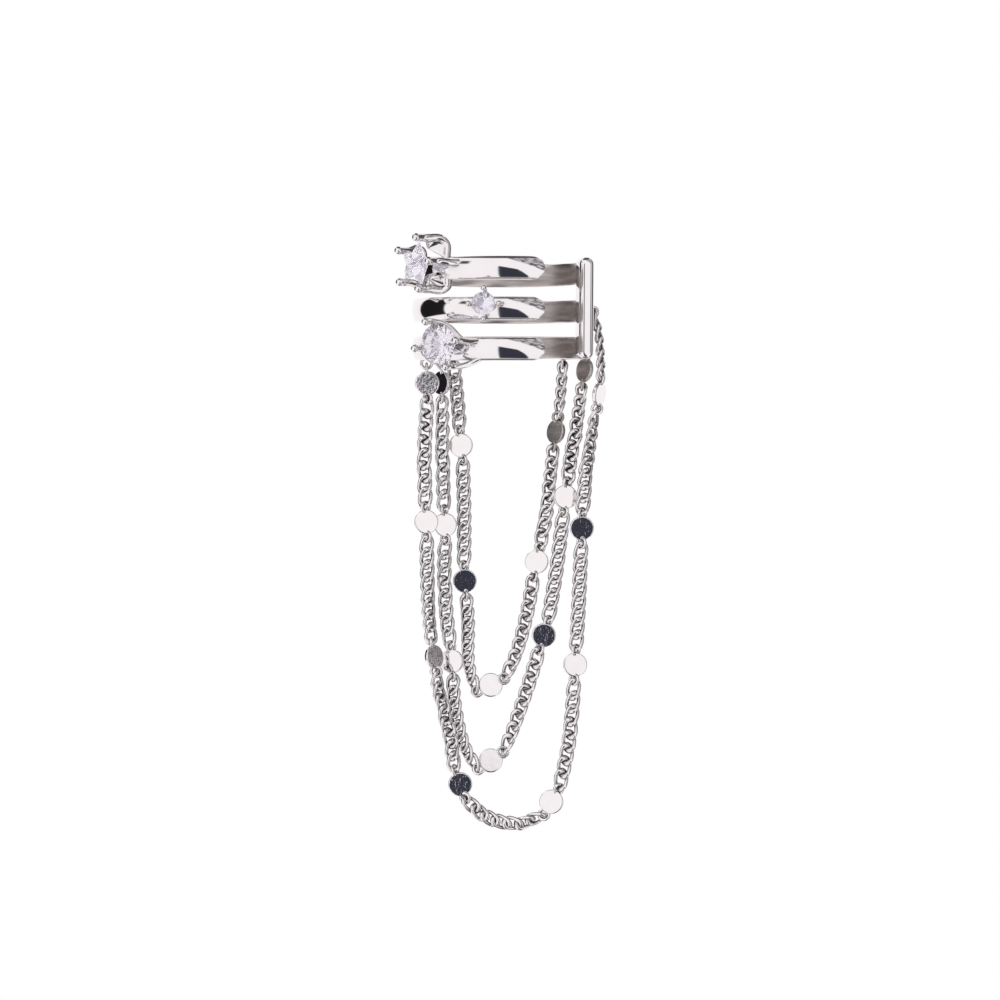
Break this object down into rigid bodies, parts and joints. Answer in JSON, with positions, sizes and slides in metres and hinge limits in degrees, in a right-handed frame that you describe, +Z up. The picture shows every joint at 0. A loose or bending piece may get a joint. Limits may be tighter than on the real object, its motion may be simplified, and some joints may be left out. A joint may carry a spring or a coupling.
{
  "type": "ear cuff with hanging chains",
  "caption": "Ear cuff of three open bands joined by an upright bar, with a star stone, round stones and hanging curb chains that carry small polished discs.",
  "frame": {"origin": "middle of the ring of bands, where the ear's rim sits in the cuff, at the height of the middle band's front", "axes": "+X towards the upright bar, +Y from the open front to the back of the ring, +Z up, against the hanging chains"},
  "size_m": [0.017, 0.0162, 0.0477],
  "materials": {
    "silver": "polished",
    "disc_silver": "mirror polished",
    "crystal": "faceted and clear"
  },
  "bodies": {
    "root": {"cuff_frame": "silver", "star_stone": "crystal", "round_stone": "crystal", "small_stone": "crystal", "chain_outer": "silver", "chain_middle": "silver", "chain_inner": "silver", "outer_disc_1": "disc_silver", "outer_disc_2": "disc_silver", "outer_disc_3": "disc_silver", "outer_disc_4": "disc_silver", "outer_disc_5": "disc_silver", "outer_disc_6": "disc_silver", "outer_disc_7": "disc_silver", "outer_disc_8": "disc_silver", "middle_disc_1": "disc_silver", "middle_disc_2": "disc_silver", "middle_disc_3": "disc_silver", "middle_disc_4": "disc_silver", "middle_disc_5": "disc_silver", "middle_disc_6": "disc_silver", "middle_disc_7": "disc_silver", "inner_disc_1": "disc_silver", "inner_disc_2": "disc_silver", "inner_disc_3": "disc_silver", "inner_disc_4": "disc_silver", "inner_disc_5": "disc_silver"}
  },
  "joints": []
}
